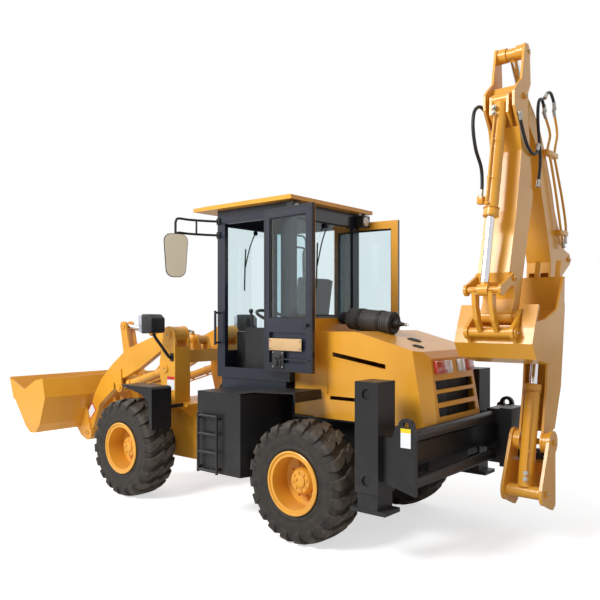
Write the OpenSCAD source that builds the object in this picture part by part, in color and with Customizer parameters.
/* [Wheels and stance] */
// Distance from the rear axle to the front axle
wheelbase = 2250; // [2100:10:2500]
// Radius of a tyre at the tips of its lugs
tyre_r = 490; // [450:5:520]
// Width of a tyre
tyre_w = 340; // [280:5:380]
// Height of the lugs above the carcass
lug_h = 26; // [14:1:34]
// Lugs on each shoulder of a tyre
lug_count = 18; // [12:1:22]
// Radius of the rim's bead seat
rim_r = 225; // [200:5:250]
// Distance from the centre line to the middle of a tyre
wheel_y = 730; // [700:5:780]
// Radius of the wheel hubs
hub_r = 110; // [90:5:130]

/* [Rear frame] */
// Distance between the outer faces of the rear frame's side plates
frame_w = 660; // [600:10:760]
// Thickness of the frame plates
frame_t = 24; // [16:1:32]
// Bottom of the rear frame
frame_z0 = 440; // [400:10:480]
// Top of the rear frame
frame_z1 = 960; // [900:10:1000]
// Rear end of the rear frame, behind the rear axle
frame_back = 900; // [860:10:960]
// Distance from the rear axle to the articulation pin
joint_x = 1390; // [1340:5:1440]
// Radius of the articulation pin
joint_pin_r = 32; // [24:1:40]
// Distance from the articulation pin to the front of the side tanks
tank_gap = 240; // [220:5:300]
// Length of a side tank
tank_l = 540; // [480:10:600]
// Outer face of a side tank, from the centre line
tank_y = 850; // [800:5:880]
// Bottom of a side tank
tank_z0 = 430; // [400:5:480]
// Top of a side tank
tank_z1 = 1140; // [1080:5:1180]

/* [Cab] */
// Rear face of the cab, ahead of the rear axle
cab_x0 = 340; // [320:5:380]
// Length of the cab at its sills
cab_l = 900; // [860:10:940]
// Width of the cab
cab_w = 1040; // [980:10:1080]
// Height of the cab floor
cab_z0 = 1240; // [1200:5:1280]
// Top of the cab walls
cab_z1 = 2800; // [2700:10:2860]
// Thickness of the cab walls
cab_wall = 40; // [30:1:50]
// Width of the cab pillars
pillar_w = 100; // [80:1:120]
// Height of the door sill above the cab's bottom
sill_h = 95; // [80:5:140]
// Height of the header over the doors
header_h = 130; // [100:5:180]
// Overhang of the roof at the sides and the rear
roof_over = 95; // [60:5:130]
// Overhang of the roof at the front
roof_front = 235; // [180:5:270]
// Thickness of the roof at its edge
roof_t = 34; // [24:1:44]
// Width of a cab door
door_w = 590; // [540:5:610]
// Thickness of a cab door
door_t = 36; // [28:1:44]
// Angle of the open doors from closed
door_open = 174; // [120:1:175]
// Thickness of the window glass
glass_t = 6; // [4:1:8]

/* [Engine hood] */
// Front end of the hood, ahead of the rear axle
hood_x1 = 110; // [80:5:140]
// Rear end of the hood at its foot, behind the rear axle
hood_back = 995; // [960:5:1010]
// Width of the hood
hood_w = 960; // [900:10:1000]
// Top of the hood at its front
hood_z1 = 1680; // [1650:5:1720]
// Top of the hood at its rear end
hood_z2 = 1480; // [1440:5:1520]
// Sheet thickness of the hood
hood_t = 14; // [8:1:20]
// Top of the raised box between the hood and the cab
cowl_z = 1790; // [1740:5:1820]

/* [Gantry and stabilizers] */
// Distance from the rear axle back to the slide tubes
rail_back = 1040; // [1030:1:1043]
// Radius of the slide tubes
rail_r = 42; // [36:1:50]
// Height of the upper slide tube
rail_z1 = 970; // [940:5:990]
// Height of the lower slide tube
rail_z0 = 640; // [620:5:660]
// Inner face of an end plate, from the centre line
rail_y = 840; // [820:5:860]
// Thickness of an end plate
end_t = 34; // [24:1:40]
// Radius of the lifting eyes
eye_r = 26; // [20:1:30]
// Outer face of a stabilizer post, from the centre line
post_y = 930; // [910:5:950]
// Width of a stabilizer post along the machine
post_l = 200; // [180:5:220]
// Depth of a stabilizer post across the machine
post_d = 225; // [200:5:235]
// Rear face of the posts, behind the rear axle
post_back = 830; // [820:5:850]
// Wall of a stabilizer post
post_wall = 14; // [10:1:18]
// Bottom of a stabilizer post
post_z0 = 540; // [520:5:580]
// Top of a stabilizer post
post_z1 = 1338; // [1300:5:1380]
// Height of the foot plates above the ground
foot_z = 395; // [360:5:430]

/* [Loader] */
// Distance from the centre line to the middle of a lift arm
arm_y = 360; // [340:5:380]
// Thickness of a lift arm
arm_t = 70; // [55:1:80]
// Radius of the loader pins
pin_r = 25; // [20:1:32]
// Reach of the loader bucket ahead of its pins
bucket_reach = 750; // [690:10:780]
// Width of the loader bucket
bucket_w = 1940; // [1860:10:2040]
// Plate thickness of the loader bucket
bucket_t = 20; // [14:1:28]
// Bore of the lift cylinders' barrels, as an outer radius
lift_r = 44; // [38:1:50]
// Outer radius of the tilt cylinder's barrel
tilt_r = 52; // [44:1:60]

/* [Backhoe] */
// Distance from the slide tubes back to the swing axis
swing_back = 360; // [355:1:375]
// Place of the carriage to the right of the centre line
shift_y = 620; // [580:5:630]
// Width of the carriage
carriage_w = 270; // [240:5:300]
// Width of the boom
boom_w = 200; // [180:5:210]
// Width of the dipper
dipper_w = 170; // [150:5:176]
// Radius of the backhoe pins
hoe_pin_r = 24; // [20:1:28]
// Width of the backhoe bucket
hoe_bucket_w = 590; // [520:10:600]
// Plate thickness of the backhoe bucket
hoe_bucket_t = 16; // [12:1:22]
// Outer radius of the boom cylinder
boom_cyl_r = 60; // [50:1:62]
// Outer radius of the dipper cylinder
dipper_cyl_r = 52; // [44:1:56]
// Outer radius of the bucket cylinder
bucket_cyl_r = 48; // [42:1:54]

/* [Hidden] */
$fn = 48;
steel_yellow = "goldenrod";
steel_black = "#26262a";
rubber = "#2b2a29";
chrome = "silver";
// Radial clearance of a running pin and side clearance of a pinned piece
run = 0.05;
side = 0.3;
// The whole machine is shifted so that its box is centred on the origin
mid_x = 1320;
mid_y = -42;
hoe_x = -rail_back - swing_back;
function hood_tail(z) = -hood_back + hood_lean * (z - frame_z1) / (hood_z2 - frame_z1);
// Places that follow from the sizes above; loader points are (x, z), backhoe points (y, z)
axle_r = 95;
stub_r = 60;
casing_r = 150;
bead_y = tyre_w / 2 - 24;
plate_x = joint_x - 216;
tank_x1 = joint_x - tank_gap;
guard_y0 = 505;
joint_lug_t = 40;
joint_lugs = [520, 850];
tongue_h = joint_lugs[1] - joint_lugs[0] - joint_lug_t - 2 * side;
cab_x1 = cab_x0 + cab_l;
hinge_x = cab_x0 + 220;
hinge_y = cab_w / 2 + 45;
leaf_y0 = -8 - door_t;
door_z0 = cab_z0 + sill_h + 5;
door_h = cab_z1 - header_h + 60 - door_z0;
hinge_zs = [door_z0 + 150, door_z0 + door_h - 150];
rear_sill_z = cowl_z + 20;
mirror_x = cab_x1 + 110;
mirror_y = cab_w / 2 + 416.5;
hood_knee = -330;
hood_lean = 75;
air_y = 100;
air_z = hood_z1 + 105;
box_w = 600;
box_x0 = joint_x + 250;
box_x1 = wheelbase + 180;
base_z = 924;
col_x0 = 1930;
col_t = 22;
col_y0 = arm_y - 100;
col_y1 = arm_y + 100;
fender_x0 = wheelbase - tyre_r + 10;
fender_y1 = 880;
arm_a = [2030, 1615];
arm_p = [3570, 440];
lift_b = [2080, 1270];
lift_c = [2960, 1015];
lift_eye = 45;
tilt_t = [2060, 1555];
tilt_w = 2 * tilt_r + 14;
rocker_m = [3230, 1090];
rocker_u = [3370, 1690];
rocker_n = [3040, 720];
rocker_y = 50;
rocker_t = 24;
tube_p = rocker_m + [-165, -30];
bucket_q = [3480, 620];
king_lugs = [330, 640];
king_lug_t = 60;
tower_x = 165;
tower_t = 24;
boom_f = [-shift_y + 150, 800];
boom_e = [-shift_y + 320, 425];
boom_j = [-640, 2000];
boom_d = [20, 3440];
boom_eye_w = 90;
boom_base_w = 2 * boom_cyl_r + 14;
dipper_eye_w = 80;
dipper_h = [-1080, 2300];
dipper_g = [-60, 3800];
dipper_cyl_w = 2 * dipper_cyl_r + 14;
dipper_x = boom_w / 2 + 20;
dipper_a = [200, 1800];
bucket_c = [150, 3400];
bucket_cyl_w = 2 * bucket_cyl_r + 14;
tip_t = [255, 2080];
tip_r = [450, 1990];
tip_link_t = 20;
tip_eye_w = 80;
push_x = 62;
push_t = 30;
hoe_b = [345, 1690];
push_k = [455, 1876];
push_m = [420, 1776];
ear_x = dipper_x + tip_link_t + 18;

// Puts a piece that is drawn from the rear axle and the centre line into the part's own frame
module place() translate([-mid_x, -mid_y, 0]) children();
// Makes the piece for both sides of the machine
module both() {
    children();
    mirror([0, 1, 0]) children();
}
// Puts the piece on the left (1) or the right (-1)
module on_side(s) mirror([0, s < 0 ? 1 : 0, 0]) children();
// Extrudes a side profile (x, z) across the machine, centred on y
module across(y, t) translate([0, y + t / 2, 0]) rotate([90, 0, 0]) linear_extrude(t) children();
// Extrudes a backhoe profile (y, z) along the machine, centred off the boom's own plane
module along(off, t) translate([hoe_x + off - t / 2, 0, 0]) rotate([90, 0, 90]) linear_extrude(t) children();
// The same on both sides of the boom's plane
module along_both(off, t) for (s = [-1, 1]) along(s * off, t) children();
// A round bar across the machine and one along it
module bar_y(p, r, l, y = 0) translate([p[0], y, p[1]]) rotate([90, 0, 0])
    cylinder(r = r, h = l, center = true);
module bar_x(p, r, l, off = 0) translate([hoe_x + off, p[0], p[1]]) rotate([0, 90, 0])
    cylinder(r = r, h = l, center = true);
// A flat link between two points of a plane, with round ends
module link(p, q, r, w) {
    d = q - p;
    translate(p) rotate(atan2(d[1], d[0])) translate([0, -w / 2]) square([norm(d), w]);
    translate(p) circle(r);
    translate(q) circle(r);
}
// A round rod between two points of space
module rod(p, q, r) {
    d = q - p;
    translate(p) rotate([0, acos(d[2] / norm(d)), atan2(d[1], d[0])]) cylinder(r = r, h = norm(d));
}
// A box from one corner to the other
module block(a, b) translate(a) cube(b - a);

// Barrel from its base eye towards the rod's eye, in a plane: eye radius, width, pin, tube and length
module barrel(p, q, eye, w, pin, r, l) {
    d = q - p;
    translate([p[0], 0, p[1]]) rotate([0, -atan2(d[1], d[0]), 0]) difference() {
        union() {
            rotate([90, 0, 0]) cylinder(r = eye, h = w, center = true);
            rotate([0, 90, 0]) translate([0, 0, eye * 0.7]) cylinder(r = r, h = l - eye * 0.7);
            rotate([0, 90, 0]) translate([0, 0, l - 50]) cylinder(r = r + 6, h = 50);
        }
        rotate([90, 0, 0]) cylinder(r = pin + run, h = w + 2, center = true);
        rotate([0, 90, 0]) translate([0, 0, eye + 12]) cylinder(r = r - 12, h = l - eye - 52);
        rotate([0, 90, 0]) translate([0, 0, l - 60]) cylinder(r = r * 0.6 + run, h = 62);
    }
}
// Rod with its piston inside the barrel and its eye at q
module piston(p, q, eye, w, r, l) {
    d = q - p;
    n = norm(d);
    translate([p[0], 0, p[1]]) rotate([0, -atan2(d[1], d[0]), 0]) {
        translate([n, 0, 0]) rotate([90, 0, 0]) cylinder(r = eye, h = w, center = true);
        rotate([0, 90, 0]) translate([0, 0, n - l]) cylinder(r = r * 0.6, h = l - eye * 0.7);
        rotate([0, 90, 0]) translate([0, 0, n - l]) cylinder(r = r - 13, h = 60);
    }
}
// Turns a cylinder drawn across the machine into the backhoe's plane
module hoe_side() translate([hoe_x, 0, 0]) rotate([0, 0, 90]) children();

// All in the wheel's own frame: axis along y, outer side at +y
module tyre_profile() polygon([[rim_r + 0.2, -bead_y], [rim_r + 26, -bead_y], [rim_r + 60, -tyre_w / 2 + 6],
    [rim_r + 130, -tyre_w / 2], [tyre_r - lug_h - 40, -tyre_w / 2 + 12], [tyre_r - lug_h, -tyre_w / 2 + 50],
    [tyre_r - lug_h, tyre_w / 2 - 50], [tyre_r - lug_h - 40, tyre_w / 2 - 12], [rim_r + 130, tyre_w / 2],
    [rim_r + 60, tyre_w / 2 - 6], [rim_r + 26, bead_y], [rim_r + 0.2, bead_y]]);
module tyre() {
    rotate([-90, 0, 0]) rotate_extrude($fn = 72) tyre_profile();
    for (s = [-1, 1], i = [0 : lug_count - 1])
        rotate([0, (i + (s + 1) / 4) * 360 / lug_count, 0]) translate([0, s * tyre_w / 4, 0])
            rotate([0, 0, s * 24]) translate([-24, -tyre_w / 4 + 6, tyre_r - lug_h - 14])
                cube([48, tyre_w / 2 - 16, lug_h + 14 - 3]);
}
module rim() difference() {
    rotate([-90, 0, 0]) rotate_extrude($fn = 72) polygon([[0, -110], [hub_r, -110], [hub_r, -70],
        [rim_r - 16, -40], [rim_r - 16, -bead_y - 12], [rim_r + 18, -bead_y - 12],
        [rim_r + 18, -bead_y - 2], [rim_r, -bead_y - 2],
        [rim_r, bead_y + 2], [rim_r + 18, bead_y + 2], [rim_r + 18, bead_y + 12], [rim_r - 16, bead_y + 12],
        [rim_r - 16, -20], [hub_r, -46], [hub_r, 30], [hub_r - 20, 60], [0, 60]]);
    translate([0, -111, 0]) rotate([-90, 0, 0]) cylinder(r = stub_r + run, h = 132);
}
module at_wheel(x, s) place() on_side(s) translate([x, wheel_y, tyre_r]) children();
module tyre_front_left() color(rubber) at_wheel(wheelbase, 1) tyre();
module tyre_front_right() color(rubber) at_wheel(wheelbase, -1) tyre();
module tyre_rear_left() color(rubber) at_wheel(0, 1) tyre();
module tyre_rear_right() color(rubber) at_wheel(0, -1) tyre();
module rim_front_left() color(steel_yellow) at_wheel(wheelbase, 1) rim();
module rim_front_right() color(steel_yellow) at_wheel(wheelbase, -1) rim();
module rim_rear_left() color(steel_yellow) at_wheel(0, 1) rim();
module rim_rear_right() color(steel_yellow) at_wheel(0, -1) rim();
// Axle housing with its centre casing, flanges against the frame and stubs in the hubs
module axle(x, half) translate([x, 0, tyre_r]) {
    rotate([-90, 0, 0]) translate([0, 0, -wheel_y + 115]) cylinder(r = axle_r, h = 2 * wheel_y - 230);
    rotate([-90, 0, 0]) translate([0, 0, -wheel_y - 20]) cylinder(r = stub_r, h = 2 * wheel_y + 40);
    sphere(r = casing_r);
    both() translate([0, half, 0]) rotate([-90, 0, 0]) cylinder(r = axle_r + 36, h = 16);
    both() translate([0, wheel_y - 145, 0]) rotate([-90, 0, 0]) cylinder(r = axle_r + 20, h = 30);
}
module rear_axle() color(steel_black) place() axle(0, frame_w / 2);
module front_axle() color(steel_black) place() axle(wheelbase, box_w / 2);

module rear_chassis() color(steel_black) place() {
    difference() {
        both() across(frame_w / 2 - frame_t / 2, frame_t) polygon([[-frame_back, frame_z0 + 120],
            [-frame_back, frame_z1], [plate_x, frame_z1], [plate_x, frame_z0 + 40], [plate_x - 160, frame_z0],
            [-frame_back + 180, frame_z0]]);
        bar_y([0, tyre_r], axle_r + run, frame_w + 2);
    }
    for (x = [-frame_back, plate_x - frame_t]) block([x, -frame_w / 2 + frame_t, frame_z0 + 130],
        [x + frame_t, frame_w / 2 - frame_t, frame_z1]);
    // Deck that carries the hood
    both() block([-frame_back, frame_w / 2, frame_z1 - 14], [cab_x0 - 8, hood_w / 2, frame_z1]);
    // Lugs of the articulation, and its pin
    for (z = joint_lugs) {
        translate([joint_x, 0, z]) cylinder(r = joint_pin_r + 55, h = joint_lug_t);
        block([plate_x - frame_t, -joint_pin_r - 50, z], [joint_x, joint_pin_r + 50, z + joint_lug_t]);
    }
    both() block([plate_x, joint_pin_r + 30, joint_lugs[0]],
        [plate_x + 100, joint_pin_r + 50, joint_lugs[1]]);
    translate([joint_x, 0, joint_lugs[0] - 14])
        cylinder(r = joint_pin_r, h = joint_lugs[1] - joint_lugs[0] + 68);
}
module side_tanks() color(steel_black) place() both() {
    translate([0, 0, tank_z0]) linear_extrude(tank_z1 - tank_z0) polygon([[tank_x1 - tank_l, tank_y],
        [tank_x1, tank_y], [tank_x1, frame_w / 2], [tank_x1 - tank_l - 130, frame_w / 2],
        [tank_x1 - tank_l - 110, frame_w / 2 + 120]]);
    // Platform over the rear wheel
    across((guard_y0 + tank_y) / 2, tank_y - guard_y0) polygon([[tank_x1 - tank_l + 60, tank_z1],
        [tank_x1 - tank_l + 40, tank_z1], [cab_x0 + 110, tank_z1 + 30], [20, tank_z1 + 46],
        [10, tank_z1 - 20], [0, tank_z1 - 20], [10, tank_z1 + 60], [cab_x0 + 110, tank_z1 + 44],
        [tank_x1 - tank_l + 60, tank_z1 + 16]]);
    // Ladder of bent tube
    for (x = [tank_x1 - 290, tank_x1 - 50]) {
        translate([x, tank_y + 38, tank_z0]) cylinder(r = 13, h = 520);
        for (z = [tank_z0 + 40, tank_z0 + 480]) translate([x, tank_y - 1, z]) rotate([-90, 0, 0])
            cylinder(r = 11, h = 39);
    }
    for (rung = [20 : 160 : 500]) translate([tank_x1 - 290, tank_y + 38, tank_z0 + rung])
        rotate([0, 90, 0]) cylinder(r = 12, h = 240);
}

door_x0 = hinge_x + 5;
door_x1 = door_x0 + door_w;
module cab_shell() color(steel_black) place() {
    difference() {
        block([cab_x0, -cab_w / 2, cab_z0], [cab_x1, cab_w / 2, cab_z1]);
        block([cab_x0 + cab_wall, -cab_w / 2 + cab_wall, cab_z0 + cab_wall],
            [cab_x1 - cab_wall, cab_w / 2 - cab_wall, cab_z1 - cab_wall]);
        // Doorways and the windows behind them
        block([door_x0 + 50, -cab_w, cab_z0 + sill_h], [cab_x1 - pillar_w, cab_w, cab_z1 - header_h]);
        block([cab_x0 + pillar_w, -cab_w, cab_z0 + 520], [door_x0 - 50, cab_w, cab_z1 - header_h]);
        // Windscreen and rear window
        block([cab_x1 - cab_wall - 1, -cab_w / 2 + pillar_w, cab_z0 + 230],
            [cab_x1 + 1, cab_w / 2 - pillar_w, cab_z1 - header_h]);
        block([cab_x0 - 1, -cab_w / 2 + pillar_w, rear_sill_z],
            [cab_x0 + cab_wall + 1, cab_w / 2 - pillar_w, cab_z1 - header_h]);
    }
    // Plinth between the frame and the floor
    block([cab_x0 + 60, -frame_w / 2 + 2, frame_z1], [cab_x1 - 40, frame_w / 2 - 2, tank_z1]);
    block([cab_x0 + 60, -cab_w / 2 + 20, tank_z1], [cab_x1 - 40, cab_w / 2 - 20, cab_z0]);
    // Hinge brackets and pins of the doors
    both() for (z = hinge_zs) translate([hinge_x, hinge_y, z]) {
        for (h = [-60, 36]) translate([0, 0, h]) {
            cylinder(r = 14, h = 24);
            translate([-14, cab_w / 2 - hinge_y, 0]) cube([17, hinge_y - cab_w / 2 - 8, 24]);
        }
        translate([0, 0, -64]) cylinder(r = 8, h = 128);
    }
    // Handrail at the front pillar
    both() {
        for (z = [cab_z0 + 320, cab_z0 + 600]) translate([cab_x1 - 30, cab_w / 2 - 1, z]) rotate([-90, 0, 0])
            cylinder(r = 10, h = 59);
        translate([cab_x1 - 30, cab_w / 2 + 58, cab_z0 + 300]) cylinder(r = 12, h = 320);
    }
}
module cab_roof() color(steel_yellow) place() {
    block([cab_x0 - roof_over, -cab_w / 2 - roof_over, cab_z1],
        [cab_x1 + roof_front, cab_w / 2 + roof_over, cab_z1 + roof_t]);
    block([cab_x0 - roof_over + 60, -cab_w / 2 - roof_over + 60, cab_z1 + roof_t],
        [cab_x1 + roof_front - 60, cab_w / 2 + roof_over - 60, cab_z1 + roof_t + 18]);
}
module cab_glass() color("#8aa0a8", 0.5) place() {
    block([cab_x1 - 20, -cab_w / 2 + pillar_w, cab_z0 + 230],
        [cab_x1 - 20 + glass_t, cab_w / 2 - pillar_w, cab_z1 - header_h]);
    block([cab_x0 + 16, -cab_w / 2 + pillar_w, rear_sill_z],
        [cab_x0 + 16 + glass_t, cab_w / 2 - pillar_w, cab_z1 - header_h]);
    both() block([cab_x0 + pillar_w, cab_w / 2 - 24, cab_z0 + 520],
        [door_x0 - 50, cab_w / 2 - 24 + glass_t, cab_z1 - header_h]);
}
module seat() color("#222226") place() translate([cab_x0 + 290, 0, cab_z0 + cab_wall]) {
    translate([-60, -130, 0]) cube([260, 260, 230]);
    translate([-130, -240, 230]) cube([460, 480, 110]);
    translate([-130, -230, 320]) rotate([0, -8, 0]) cube([110, 460, 580]);
}
module console() color("#1c1c1f") place() {
    block([cab_x1 - cab_wall - 160, -300, cab_z0 + cab_wall], [cab_x1 - cab_wall, 300, cab_z0 + 420]);
    rod([cab_x1 - 190, 0, cab_z0 + 140], [cab_x1 - 250, 0, cab_z0 + 560], 34);
    translate([cab_x1 - 250, 0, cab_z0 + 560]) rotate([0, -22, 0]) {
        rotate_extrude() translate([175, 0]) circle(r = 15, $fn = 24);
        cylinder(r = 40, h = 24, center = true);
        for (a = [90, 210, 330]) rotate([0, 0, a]) translate([20, -14, -8]) cube([150, 28, 14]);
    }
    for (s = [-1, 1]) {
        translate([cab_x0 + 330, s * 330 - 60, cab_z0 + cab_wall]) cube([330, 120, 420]);
        translate([cab_x0 + 620, s * 330, cab_z0 + 440]) rotate([0, 8, 0]) cylinder(r = 12, h = 170);
    }
}
// A door, closed, from its hinge axis forward; its pane is a piece of its own
module door_leaf(pane) {
    if (pane) translate([75, leaf_y0 + 12, door_z0 + 450]) cube([door_w - 140, glass_t, door_h - 450 - 80]);
    else {
        difference() {
            translate([5, leaf_y0, door_z0]) cube([door_w, door_t, door_h]);
            translate([75, leaf_y0 - 1, door_z0 + 450]) cube([door_w - 140, door_t + 2, door_h - 450 - 80]);
            translate([75, leaf_y0 - 1, door_z0 + 70]) cube([door_w - 140, door_t - 11, 260]);
            for (z = hinge_zs) translate([0, 0, z - 62]) cylinder(r = 16, h = 124);
        }
        for (z = hinge_zs) difference() {
            union() {
                translate([0, 0, z - 35.7]) cylinder(r = 14, h = 71.4);
                translate([4, leaf_y0, z - 35.7]) cube([20, -leaf_y0, 71.4]);
            }
            translate([0, 0, z - 40]) cylinder(r = 8 + run, h = 80);
        }
        translate([door_w - 110, leaf_y0 - 26, door_z0 + 380]) cube([70, 26.5, 24]);
    }
}
module at_door(s) place() on_side(s) translate([hinge_x, hinge_y, 0]) rotate([0, 0, door_open]) children();
module door_left() color(steel_black) at_door(1) door_leaf(false);
module door_right() color(steel_black) at_door(-1) door_leaf(false);
module door_left_glass() color("#8aa0a8", 0.5) at_door(1) door_leaf(true);
module door_right_glass() color("#8aa0a8", 0.5) at_door(-1) door_leaf(true);
module mirrors() color(steel_black) place() both() {
    for (z = [cab_z1 - 100, cab_z1 - 230]) {
        block([cab_x1 - 40, cab_w / 2, z - 30], [cab_x1, cab_w / 2 + 14, z + 30]);
        rod([cab_x1 - 12, cab_w / 2 + 12, z], [cab_x1 + 60, cab_w / 2 + 120, z], 11);
        rod([cab_x1 + 55, cab_w / 2 + 112, z], [mirror_x, mirror_y, z], 11);
    }
    translate([mirror_x, mirror_y, cab_z1 - 660]) cylinder(r = 11, h = 550);
    translate([mirror_x, mirror_y, cab_z1 - 640]) rotate([0, 0, 20]) translate([-18, -115, 0])
        cube([34, 230, 400]);
}
module rear_lamps() color(steel_black) place() both() {
    across(190, 240) polygon([[hood_tail(1365) - 0.2, 1365], [hood_tail(1460) - 0.2, 1460],
        [hood_tail(1460) - 28, 1460], [hood_tail(1365) - 28, 1365]]);
    translate([cab_x0 - roof_over + 10, cab_w / 2 - 60, cab_z1 - 130]) cube([70, 120, 110]);
    translate([cab_x0 - roof_over + 40, cab_w / 2 - 10, cab_z1 - 22]) cylinder(r = 14, h = 22);
}

module hood_side(off) offset(delta = off) polygon([[hood_x1, frame_z1], [hood_x1, hood_z1],
    [hood_knee, hood_z1], [-hood_back + 115, hood_z2 + 55], [-hood_back + hood_lean, hood_z2],
    [-hood_back, frame_z1]]);
// Everything beyond the slanted facet at a rear corner of the hood, moved outward
module beyond_facet(out) translate([-hood_back + 57, hood_w / 2, frame_z1 + 30])
    rotate([0, acos(0.156), 155.2]) translate([-1500, -1500, out]) cube([3000, 3000, 400]);
module engine_hood() color(steel_yellow) place() {
    difference() {
        across(0, hood_w) hood_side(0);
        difference() {
            across(0, hood_w - 2 * hood_t) hood_side(-hood_t);
            both() beyond_facet(-hood_t);
        }
        both() beyond_facet(0);
        translate([-hood_back + 40, -hood_w / 2 + 150, frame_z1 - 1])
            cube([hood_back + hood_x1 - 80, hood_w - 300, 20]);
        // Grille slots in the tail
        for (z = [1037, 1143, 1241]) block([-hood_back - 10, -315, z], [-hood_back + 80, 315, z + 70]);
        // Recessed panels and slots in the sides
        both() {
            across(hood_w / 2, 10) polygon([[-37, 1160], [-37, 1435], [-65, 1460], [-585, 1397], [-610, 1370],
                [-610, 1160], [-585, 1132], [-65, 1132]]);
            across(hood_w / 2, 2 * hood_t + 2)
                polygon([[-604, 1394], [-88, 1475], [-88, 1512], [-604, 1431]]);
            across(hood_w / 2, 2 * hood_t + 2)
                polygon([[-500, 1118], [-63, 1118], [-63, 1148], [-500, 1148]]);
        }
    }
    // Raised box between the hood and the cab
    block([hood_x1, -hood_w / 2 + 30, frame_z1], [cab_x0, hood_w / 2 - 30, cowl_z]);
}
module engine_block() color("#3a3a3c") place() {
    block([-780, -frame_w / 2 + frame_t, 620], [-200, frame_w / 2 - frame_t, frame_z1]);
    block([-720, -230, frame_z1], [-240, 230, 1330]);
}
module air_cleaner() color(steel_black) place() {
    translate([-450, air_y, air_z]) rotate([0, 90, 0]) cylinder(r = 95, h = 450);
    translate([-500, air_y, air_z]) rotate([0, 90, 0]) cylinder(r = 60, h = 60);
    translate([-10, air_y, air_z]) rotate([0, 90, 0]) cylinder(r = 50, h = hood_x1 + 10);
    for (x = [-310, -110]) translate([x, air_y - 60, hood_z1]) cube([40, 120, air_z - hood_z1 - 60]);
}

module gantry() color(steel_black) place() {
    for (z = [rail_z0, rail_z1]) bar_y([-rail_back, z], rail_r, 2 * rail_y + 2);
    both() difference() {
        across(rail_y + end_t / 2, end_t) {
            polygon([[-rail_back - 55, rail_z0 - 78], [-rail_back - 55, rail_z1 - 10],
                [-rail_back - 40, rail_z1 + 70], [-rail_back + 100, rail_z1 + 70],
                [-rail_back + 130, rail_z1 - 20], [-post_back, rail_z1 - 20], [-post_back, rail_z0 - 10]]);
            translate([-rail_back + 20, rail_z1 + 65]) circle(62);
        }
        bar_y([-rail_back + 20, rail_z1 + 75], eye_r, 2 * rail_y + 200);
    }
    // Beams from the frame out to the posts, and the plate behind the frame
    both() block([-post_back + 10, frame_w / 2, rail_z0 - 40],
        [-post_back + post_l - 10, post_y - post_d, rail_z0 + 130]);
    block([-frame_back - 22, -rail_y, rail_z0 + 60], [-frame_back, rail_y, rail_z1 - 100]);
    both() block([-frame_back - 22, rail_y - 40, rail_z0 + 60], [-post_back, rail_y, rail_z1 - 100]);
}
module stabilizer_posts() color(steel_black) place() both() difference() {
    block([-post_back, post_y - post_d, post_z0], [-post_back + post_l, post_y, post_z1]);
    block([-post_back + post_wall, post_y - post_d + post_wall, post_z0 - 1],
        [-post_back + post_l - post_wall, post_y - post_wall, post_z1 - post_wall]);
    for (z = [post_z0 + 90, post_z1 - 90]) translate([-post_back + post_l / 2, post_y - post_wall - 1, z])
        rotate([-90, 0, 0]) cylinder(r = 38, h = post_wall + 2);
}
module leg(s) place() on_side(s) {
    block([-post_back + post_wall + side, post_y - post_d + post_wall + side, foot_z + 30],
        [-post_back + post_l - post_wall - side, post_y - post_wall - side, post_z1 - 60]);
    block([-post_back - 50, post_y - post_d / 2 - 100, foot_z],
        [-post_back + post_l + 50, post_y - post_d / 2 + 100, foot_z + 30]);
}
module stabilizer_leg_left() color(steel_black) leg(1);
module stabilizer_leg_right() color(steel_black) leg(-1);

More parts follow.
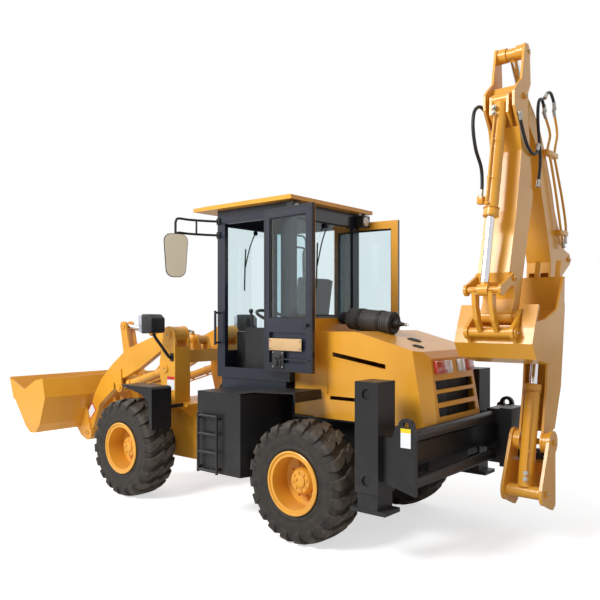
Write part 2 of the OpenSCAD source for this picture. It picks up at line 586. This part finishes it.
module front_frame() color(steel_yellow) place() {
    // Box between the front wheels
    difference() {
        both() across(box_w / 2 - frame_t / 2, frame_t) polygon([[box_x0, 480], [box_x0, base_z - frame_t],
            [box_x1, base_z - frame_t], [box_x1, 345], [box_x0 + 160, 345]]);
        bar_y([wheelbase, tyre_r], axle_r + run, box_w + 2);
    }
    for (x = [box_x0, box_x1 - frame_t]) block([x, -box_w / 2 + frame_t, 480],
        [x + frame_t, box_w / 2 - frame_t, base_z - frame_t]);
    // Tongue round the articulation pin
    difference() {
        union() {
            translate([joint_x, 0, joint_lugs[0] + joint_lug_t + side])
                cylinder(r = joint_pin_r + 43, h = tongue_h);
            block([joint_x, -joint_pin_r - 30, joint_lugs[0] + joint_lug_t + 20],
                [box_x0, joint_pin_r + 30, joint_lugs[1] - 20]);
        }
        translate([joint_x, 0, joint_lugs[0]])
            cylinder(r = joint_pin_r + run, h = joint_lugs[1] - joint_lugs[0] + 50);
    }
    // Base plate with its gussets, and the two columns, each a pair of plates with a cover behind
    block([col_x0 - 190, -col_y1, base_z - frame_t], [col_x0 + 350, col_y1, base_z]);
    both() for (x = [col_x0 - 60, col_x0 + 160]) translate([x, 0, 0]) rotate([90, 0, 90]) linear_extrude(16)
        polygon([[box_w / 2 - 1, base_z - frame_t + 1], [col_y1 - 10, base_z - frame_t + 1],
            [col_y1 - 10, base_z - frame_t - 12], [box_w / 2 - 1, base_z - 150]]);
    both() {
        for (y = [col_y0 + col_t / 2, col_y1 - col_t / 2]) across(y, col_t) {
            polygon([[col_x0, base_z], [col_x0, arm_a[1] - 60], arm_a + [-60, 64], arm_a + [60, 64],
                arm_a + [92, -30], [lift_b[0] + 100, lift_b[1] + 60], [lift_b[0] + 90, lift_b[1] - 90],
                [col_x0 + 160, base_z]]);
            translate(arm_a) circle(90);
        }
        block([col_x0, col_y0 + col_t, base_z], [col_x0 + 16, col_y1 - col_t, arm_a[1] - 120]);
        bar_y(arm_a, pin_r, col_y1 - col_y0 + 24, (col_y0 + col_y1) / 2);
        bar_y(lift_b, pin_r, col_y1 - col_y0 + 24, (col_y0 + col_y1) / 2);
        for (p = [arm_a, lift_b], y = [col_y0 - 12, col_y1]) bar_y(p, pin_r + 16, 12, y + 6);
    }
    // Beam between the columns, with the lugs of the tilt cylinder
    block([col_x0 + 30, -col_y0, arm_a[1] - 290], [col_x0 + 150, col_y0, arm_a[1] - 160]);
    for (s = [-1, 1]) across(s * (tilt_w / 2 + side + 11), 22) {
        polygon([[col_x0 + 40, arm_a[1] - 160], [tilt_t[0] - 45, tilt_t[1] + 20],
            [tilt_t[0] + 45, tilt_t[1] + 10], [col_x0 + 150, arm_a[1] - 160]]);
        translate(tilt_t) circle(50);
    }
    bar_y(tilt_t, pin_r, tilt_w + 60);
}
module front_fenders() color(steel_black) place() both() {
    // Top sheet and rear flap, and the skirt along the outer edge
    across((640 + fender_y1) / 2, fender_y1 - 640) polygon([[fender_x0, 715], [fender_x0, 1106],
        [fender_x0 + 20, 1126], [fender_x0 + 480, 1126], [fender_x0 + 480, 1116], [fender_x0 + 24, 1116],
        [fender_x0 + 10, 1102], [fender_x0 + 10, 715]]);
    across(fender_y1 - 5, 10) polygon([[fender_x0, 715], [fender_x0, 1106], [fender_x0 + 20, 1126],
        [fender_x0 + 480, 1126], [fender_x0 + 440, 1106], [fender_x0 + 160, 1050], [fender_x0 + 60, 980],
        [fender_x0 + 30, 715]]);
    // Brackets from the base plate's edge and from the column, low enough for the lift cylinders
    for (b = [[fender_x0 + 30, base_z - 24], [fender_x0 + 300, base_z + 96]]) {
        block([b[0], col_y1, b[1]], [b[0] + 30, 700, b[1] + 34]);
        block([b[0], 660, b[1] + 33], [b[0] + 30, 700, 1117]);
    }
}
module head_lamps() color(steel_black) place() both() {
    block([col_x0 + 20, col_y1, 1370], [col_x0 + 60, 680, 1410]);
    block([col_x0 + 20, 650, 1409], [col_x0 + 60, 690, 1640]);
    across(670, 180) polygon([[col_x0, 1650], [col_x0 + 20, 1632], [col_x0 + 190, 1632], [col_x0 + 220, 1652],
        [col_x0 + 220, 1832], [col_x0 + 60, 1832], [col_x0, 1780]]);
}

module loader_arms() color(steel_yellow) place() {
    both() {
        difference() {
            union() {
                across(arm_y, arm_t) difference() {
                    union() {
                        polygon([arm_a + [-20, 84], arm_a + [60, 80], [2364, 1593], [2832, 1446],
                            [3110, 1261], [3320, 1087], [3460, 900], [3560, 690], [3620, 500],
                            arm_p + [-10, -80], [3462, 557], [3350, 796], [2880, 1125], [2598, 1244],
                            [2205, 1464], arm_a + [10, -84]]);
                        translate(arm_a) circle(85);
                        translate(arm_p) circle(85);
                    }
                    translate(lift_c) circle(lift_eye + 75);
                    translate(arm_p) circle(pin_r + run);
                }
                bar_y(arm_a, 85, col_y1 - col_y0 - 2 * col_t - 2 * side, arm_y);
                for (s = [-1, 1]) across(arm_y + s * (arm_t / 2 + 8), 16) union() {
                    translate(lift_c) circle(56);
                    polygon([lift_c + [-50, 20], [2925, 1220], [3090, 1150], lift_c + [56, 0]]);
                }
            }
            bar_y(arm_a, pin_r + run, 200, arm_y);
        }
        for (s = [-1, 1]) bar_y(lift_c, pin_r + 10, 10, arm_y + s * (arm_t / 2 + 21));
    }
    // Cross tube, and the lugs and pin that the rocker turns on
    bar_y(tube_p, 55, 2 * arm_y - arm_t);
    for (s = [-1, 1]) across(s * (rocker_y + rocker_t / 2 + side + 12), 24) union() {
        link(tube_p, rocker_m, 62, 100);
    }
    bar_y(rocker_m, pin_r, 2 * rocker_y + rocker_t + 80);
}
module lift_barrels() color(steel_black) place() both() translate([0, arm_y, 0])
    barrel(lift_b, lift_c, 45, col_y1 - col_y0 - 2 * col_t - 2 * side, pin_r, lift_r, 780);
module lift_rods() color(chrome) place() both() translate([0, arm_y, 0])
    piston(lift_b, lift_c, lift_eye, arm_t - 2 * side, lift_r, 660);
module rocker() color(steel_yellow) place() {
    for (s = [-1, 1]) across(s * rocker_y, rocker_t) difference() {
        union() {
            polygon([rocker_u + [-55, 10], rocker_u + [55, 0], rocker_m + [75, 10], rocker_n + [50, -15],
                rocker_n + [-50, 15], rocker_m + [-70, 0]]);
            for (p = [rocker_u, rocker_n]) translate(p) circle(58);
            translate(rocker_m) circle(80);
        }
        translate(rocker_m) circle(pin_r + run);
    }
    difference() {
        bar_y(rocker_m, 50, 2 * rocker_y - rocker_t);
        bar_y(rocker_m, pin_r + run, 2 * rocker_y);
    }
    bar_y(rocker_n, pin_r, 2 * rocker_y + rocker_t + 16);
    for (s = [-1, 1]) bar_y(rocker_u, pin_r + 12, 10, s * (rocker_y + rocker_t / 2 + 5));
}
module tilt_barrel() color(steel_black) place()
    barrel(tilt_t, rocker_u, 48, tilt_w, pin_r, tilt_r, 830);
module tilt_rod() color(chrome) place()
    piston(tilt_t, rocker_u, 46, 2 * rocker_y - rocker_t - 2 * side, tilt_r, 600);
module bucket_link() color(steel_yellow) place() across(0, 2 * rocker_y - rocker_t - 2 * side) difference() {
    link(rocker_n, bucket_q, 44, 60);
    translate(rocker_n) circle(pin_r + run);
}
// Points of the bucket, measured from the arms' lower pins
function from_pins(points) = [for (p = points) arm_p + [p[0] * bucket_reach / 750, p[1]]];
bucket_shape = [[750, 629], [655, 410], [390, 100], [290, 40], [180, 50], [90, 150], [-25, 460], [30, 670]];
module loader_bucket() color(steel_yellow) place() {
    across(0, bucket_w) difference() {
        polygon(from_pins(bucket_shape));
        polygon(from_pins([[850, 739], [629, 421], [375, 116], [284, 62], [192, 71], [107, 159],
            [-4, 460], [52, 670], [130, 739]]));
    }
    both() across(bucket_w / 2 - bucket_t / 2, bucket_t)
        polygon(from_pins(concat(bucket_shape, [[190, 640], [440, 520]])));
    // Cutting edge
    across(0, bucket_w) polygon(from_pins([[642, 405], [751, 652], [768, 646], [678, 394]]));
    // Ears of the arms and of the tilt link
    both() {
        for (s = [-1, 1]) across(arm_y + s * (arm_t / 2 + side + 12), 24) {
            polygon(concat([arm_p + [-60, 60]], from_pins([[30, 308], [130, 100], [220, 47], [130, -40]]),
                [arm_p + [40, -75]]));
            translate(arm_p) circle(85);
        }
        bar_y(arm_p, pin_r, arm_t + 70, arm_y);
    }
    for (s = [-1, 1]) across(s * (rocker_y - rocker_t / 2 + 12), 24) union() {
        polygon(concat([bucket_q + [-30, 45]], from_pins([[0, 390], [95, 140], [70, 120]]),
            [bucket_q + [0, -50]]));
        translate(bucket_q) circle(52);
    }
    for (s = [-1, 1]) bar_y(bucket_q, pin_r + 10, 10, s * (rocker_y - rocker_t / 2 + 29));
}

module carriage() color(steel_black) place() {
    difference() {
        union() {
            block([hoe_x + 185, -shift_y - carriage_w / 2, rail_z0 - 90],
                [-rail_back - 70, -shift_y + carriage_w / 2, rail_z1 + 70]);
            for (z = [rail_z0, rail_z1]) block([-rail_back - 75, -shift_y - carriage_w / 2, z - rail_r - 18],
                [-rail_back + 40, -shift_y + carriage_w / 2, z + rail_r + 18]);
        }
        for (z = [rail_z0, rail_z1]) bar_y([-rail_back, z], rail_r + 0.1, carriage_w + 2, -shift_y);
    }
    for (z = king_lugs) {
        translate([hoe_x, -shift_y, z]) cylinder(r = 85, h = king_lug_t);
        block([hoe_x, -shift_y - 80, z], [hoe_x + 186, -shift_y + 80, z + king_lug_t]);
    }
    block([hoe_x + 184, -shift_y - 100, king_lugs[0]], [hoe_x + 250, -shift_y + 100, rail_z0 - 60]);
    translate([hoe_x, -shift_y, king_lugs[0] - 14])
        cylinder(r = 35, h = king_lugs[1] - king_lugs[0] + king_lug_t + 28);
}
module swing_tower() color(steel_yellow) place() {
    difference() {
        union() {
            translate([hoe_x, -shift_y, king_lugs[0] + king_lug_t + side])
                cylinder(r = 62, h = king_lugs[1] - king_lugs[0] - king_lug_t - 2 * side);
            along(0, 2 * tower_x) polygon([[-shift_y + 40, king_lugs[0] + king_lug_t + 20],
                [-shift_y + 40, king_lugs[1] - 20], [-shift_y + 120, king_lugs[1] - 20],
                [-shift_y + 120, king_lugs[0] + king_lug_t + 20]]);
        }
        translate([hoe_x, -shift_y, king_lugs[0]]) cylinder(r = 35 + run, h = 500);
        for (s = [-1, 1]) translate([hoe_x + s * (tower_x + 20), -shift_y, king_lugs[0]])
            cylinder(r = tower_x - 42, h = 500);
    }
    along_both(tower_x - tower_t / 2, tower_t) union() {
        polygon([[-shift_y + 104, 300], [-shift_y + 104, 860], boom_f + [-50, 85], boom_f + [40, 92],
            boom_f + [92, 20], boom_e + [85, 40], boom_e + [70, -60], [-shift_y + 160, 270]]);
        translate(boom_f) circle(95);
        translate(boom_e) circle(88);
    }
    bar_x(boom_f, hoe_pin_r, 2 * tower_x + 24);
    bar_x(boom_e, hoe_pin_r, 2 * tower_x + 24);
    for (s = [-1, 1]) bar_x(boom_e, 50, tower_x - tower_t - boom_base_w / 2 - side,
        s * (tower_x - tower_t + boom_base_w / 2 + side) / 2);
}
boom_shape = [[-540, 840], [-691, 886], [-835, 1220], [-894, 1605], [-934, 1894], [-835, 2262],
    [-786, 2401], [-621, 2836], [-485, 3081], [-354, 3269], [-228, 3381], [-60, 3500], [60, 3520],
    [110, 3440], [60, 3370], [-167, 3229], [-354, 3057], [-376, 2801], [-507, 2498], [-598, 2247],
    [-575, 1900], [-507, 1246], [-420, 850]];
module boom() color(steel_yellow) place() {
    difference() {
        union() {
            along(0, boom_w) difference() {
                polygon(boom_shape);
                translate(boom_f) circle(150);
            }
            along_both(boom_w / 2 - 9, 18) polygon(boom_shape);
            along_both(boom_w / 2 - 9, 18) translate(boom_f) circle(85);
            for (s = [-1, 1]) bar_x(boom_f, 80, tower_x - tower_t - side - boom_w / 2 + 1,
                s * (tower_x - tower_t - side + boom_w / 2 - 1) / 2);
            // Lugs of the dipper cylinder
            along_both(dipper_cyl_w / 2 + side + 10, 20) union() {
                polygon([dipper_h + [-20, -50], dipper_h + [-30, 45], [-740, 2440], [-820, 2090]]);
                translate(dipper_h) circle(55);
            }
            bar_x(dipper_h, hoe_pin_r, dipper_cyl_w + 60);
            bar_x(boom_d, 75, boom_w);
        }
        bar_x(boom_f, hoe_pin_r + run, 400);
        bar_x(boom_d, hoe_pin_r + run, 400);
        // Open front that the boom cylinder lies in
        along(0, boom_w - 36) polygon([[-560, 2160], [-380, 1246], [-300, 700], [-560, 700],
            [-560, 1150], [-730, 1850], [-785, 1990], [-760, 2160]]);
        // Hollow
        along(0, boom_w - 36) polygon([[-800, 1230], [-860, 1610], [-896, 1888], [-800, 2254], [-590, 2822],
            [-458, 3056], [-330, 3240], [-200, 3350], [-130, 3300], [-190, 3240], [-384, 3070],
            [-404, 2810], [-535, 2506], [-624, 2252], [-640, 2200], [-800, 2200], [-815, 1960],
            [-765, 1850], [-620, 1170], [-690, 950]]);
    }
    for (s = [-1, 1]) bar_x(boom_j, hoe_pin_r + 20, 12, s * (boom_w / 2 + 6));
    for (s = [-1, 1]) bar_x(boom_j, 60, (boom_w - 36 - boom_eye_w) / 2 - side,
        s * (boom_w / 2 - 18 + boom_eye_w / 2 + side) / 2);
}
module boom_barrel() color(steel_black) place() hoe_side()
    barrel(boom_e, boom_j, 50, boom_base_w, hoe_pin_r, boom_cyl_r, 850);
module boom_rod() color(chrome) place() hoe_side()
    piston(boom_e, boom_j, 48, boom_eye_w, boom_cyl_r, 880);
// The dipper's box below its fork, clockwise from the top
box_shape = [[110, 3200], [68, 3032], [160, 2578], [295, 2120], [295, 2050], [205, 2020],
    [205, 1930], [250, 1830], [200, 1740], [140, 1780], [-2, 2251], [-152, 2714], [-90, 3120]];
dipper_shape = concat([[-60, 3480], [-110, 3560], [-95, 3760], [-110, 3800], [-60, 3850],
    [0, 3840], [60, 3560], [140, 3500], [200, 3440], [200, 3330]], box_shape, [[-60, 3300]]);
module dipper() color(steel_yellow) place() {
    difference() {
        union() {
            along_both(dipper_x - 9, 18) polygon(dipper_shape);
            along(0, 2 * dipper_x) difference() {
                polygon(concat(box_shape, [[-30, 3200]]));
                polygon([[84, 3160], [48, 3036], [140, 2574], [270, 2120], [270, 2070], [186, 2040],
                    [150, 1930], [16, 2259], [-132, 2714], [-72, 3110], [-40, 3160]]);
            }
            bar_x(dipper_a, 52, 2 * dipper_x);
        }
        bar_x(dipper_a, hoe_pin_r + run, 400);
    }
    // Cap tube over the top of the fork, and the pins
    for (s = [-1, 1]) bar_x(dipper_g, 55, dipper_x - dipper_eye_w / 2 - side - 9,
        s * (dipper_x - 9 + dipper_eye_w / 2 + side) / 2);
    bar_x(boom_d, hoe_pin_r, 2 * dipper_x + 24);
    bar_x(tip_t, hoe_pin_r, 2 * (dipper_x + tip_link_t) + 24);
    along_both(bucket_cyl_w / 2 + side + 9, 18) polygon([[150, 3340], bucket_c + [-45, 20],
        bucket_c + [0, 48], bucket_c + [45, 20], bucket_c + [45, -30], [200, 3290], [110, 3200], [90, 3199]]);
    bar_x(bucket_c, hoe_pin_r, bucket_cyl_w + 50);
}
module dipper_barrel() color(steel_black) place() hoe_side()
    barrel(dipper_h, dipper_g, 48, dipper_cyl_w, hoe_pin_r, dipper_cyl_r, 800);
module dipper_rod() color(chrome) place() hoe_side()
    piston(dipper_h, dipper_g, 44, dipper_eye_w, dipper_cyl_r, 1190);
module bucket_barrel() color(steel_black) place() hoe_side()
    barrel(bucket_c, tip_r, 44, bucket_cyl_w, hoe_pin_r, bucket_cyl_r, 900);
module bucket_rod() color(chrome) place() hoe_side()
    piston(bucket_c, tip_r, 42, tip_eye_w, bucket_cyl_r, 900);
module tipping_links() color(steel_black) place() {
    along_both(dipper_x + side + tip_link_t / 2, tip_link_t - 2 * side) difference() {
        link(tip_t, tip_r, 42, 70);
        translate(tip_t) circle(hoe_pin_r + run);
    }
    for (s = [-1, 1]) bar_x(tip_r, hoe_pin_r, dipper_x + tip_link_t - tip_eye_w / 2 - side,
        s * (dipper_x + tip_link_t + tip_eye_w / 2 + side) / 2);
}
module push_link() color(steel_black) place() {
    along_both(push_x, push_t) difference() {
        polygon([tip_r + [-30, -10], tip_r + [42, 10], push_k + [26, 6], push_m + [28, 0], hoe_b + [40, 0],
            hoe_b + [-34, 0], push_m + [-34, -6], push_k + [-36, -2]]);
        for (p = [tip_r, hoe_b]) translate(p) circle(42);
        translate(tip_r) circle(hoe_pin_r + run);
    }
    bar_x(hoe_b, 34, 2 * (ear_x - side));
}
module backhoe_bucket() color(steel_yellow) place() {
    along(0, hoe_bucket_w) difference() {
        polygon([[250, 1732], [275, 1725], [318, 1612], [240, 1500], [-60, 1450], [-240, 1600],
            [-330, 1850], [-345, 2110], [-320, 2110], [-300, 1860]]);
        polygon([[230, 1742], [257, 1728], [299, 1616], [231, 1516], [-56, 1467], [-228, 1610], [-314, 1854],
            [-326, 2120], [-290, 2120], [-200, 1900]]);
    }
    along_both(hoe_bucket_w / 2 - hoe_bucket_t / 2, hoe_bucket_t) polygon([[250, 1765], [275, 1725],
        [318, 1612], [240, 1500], [-60, 1450], [-240, 1600], [-330, 1850], [-345, 2110], [-320, 2110],
        [-180, 1860], [40, 1790]]);
    for (x = [-240, -80, 80, 240]) along(x, 40) polygon([[-352, 2060], [-332, 2060], [-345, 2140],
        [-371, 2238], [-368, 2160]]);
    along_both(hoe_bucket_w / 2 - 52, 104) polygon([[275, 1725], [250, 1732], [175, 1880], [200, 1890]]);
    // Ears round the dipper's end
    along_both(ear_x + 13, 26) union() {
        polygon([dipper_a + [-60, 0], dipper_a + [0, 60], hoe_b + [35, 36], [318, 1612], [240, 1505],
            [100, 1480]]);
        translate(dipper_a) circle(60);
        translate(hoe_b) circle(50);
    }
    bar_x(dipper_a, hoe_pin_r, 2 * ear_x + 76);
    for (s = [-1, 1]) bar_x(dipper_a, 45, ear_x - dipper_x - side, s * (ear_x + dipper_x + side) / 2);
    for (s = [-1, 1]) bar_x(hoe_b, 34, 12, s * (ear_x + 32));
}

rear_chassis();
rear_axle();
side_tanks();
cab_shell();
cab_roof();
cab_glass();
seat();
console();
engine_hood();
engine_block();
air_cleaner();
gantry();
stabilizer_posts();
rear_lamps();
mirrors();
door_left();
door_left_glass();
door_right();
door_right_glass();
front_frame();
front_axle();
front_fenders();
head_lamps();
loader_arms();
lift_barrels();
lift_rods();
rocker();
tilt_barrel();
tilt_rod();
bucket_link();
loader_bucket();
stabilizer_leg_left();
stabilizer_leg_right();
carriage();
swing_tower();
boom();
boom_barrel();
boom_rod();
dipper();
dipper_barrel();
dipper_rod();
bucket_barrel();
bucket_rod();
tipping_links();
push_link();
backhoe_bucket();
tyre_front_left();
rim_front_left();
tyre_front_right();
rim_front_right();
tyre_rear_left();
rim_rear_left();
tyre_rear_right();
rim_rear_right();
